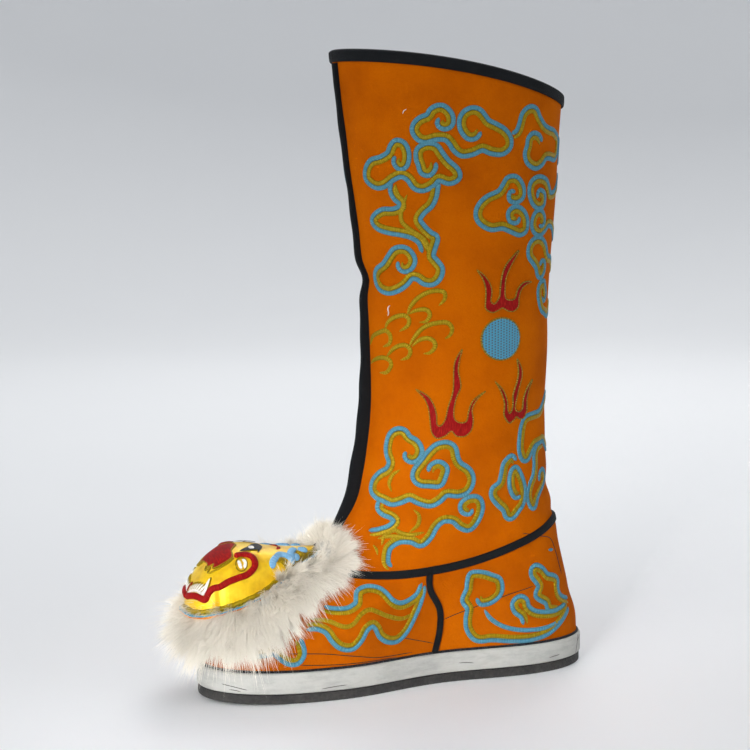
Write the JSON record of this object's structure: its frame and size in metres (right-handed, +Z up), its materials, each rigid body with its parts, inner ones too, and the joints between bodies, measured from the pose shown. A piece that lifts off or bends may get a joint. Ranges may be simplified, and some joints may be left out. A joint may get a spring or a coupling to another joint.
{
  "type": "tiger head boot",
  "caption": "Tall stage boot of padded orange cloth with appliqued cloud scrolls, a flat layered sole, and a stuffed tiger head with a fur trim on its toe.",
  "frame": {"origin": "on the floor, under the middle of the shaft, on the outsole's bottom face", "axes": "+Z up the shaft, +X from heel to toe, +Y to the inner (big toe) side"},
  "size_m": [0.2911, 0.1297, 0.4071],
  "materials": {
    "felt": "orange wool felt with a short nap",
    "midsole": "white foam rubber, matt",
    "outsole": "black rubber, matt, finely pitted edge",
    "lining": "plain white cotton",
    "binding": "black cloth tape",
    "satin": "yellow satin over stuffing",
    "rim_braid": "twisted cord and braid",
    "fur": "long white fur",
    "blue_satin": "blue satin stitch",
    "gold_braid": "couched gold cord",
    "red_satin": "red satin stitch",
    "head_trim": "stitched thread on the head"
  },
  "bodies": {
    "root": {"upper": "felt", "midsole": "midsole", "outsole": "outsole", "insole": "lining", "collar_binding": "binding", "front_ridge": "binding", "seam_binding": "binding", "side_binding_inner": "binding", "side_binding_outer": "binding", "tiger_head": "satin", "head_rim": "rim_braid", "fur_trim": "fur"}
  },
  "joints": []
}
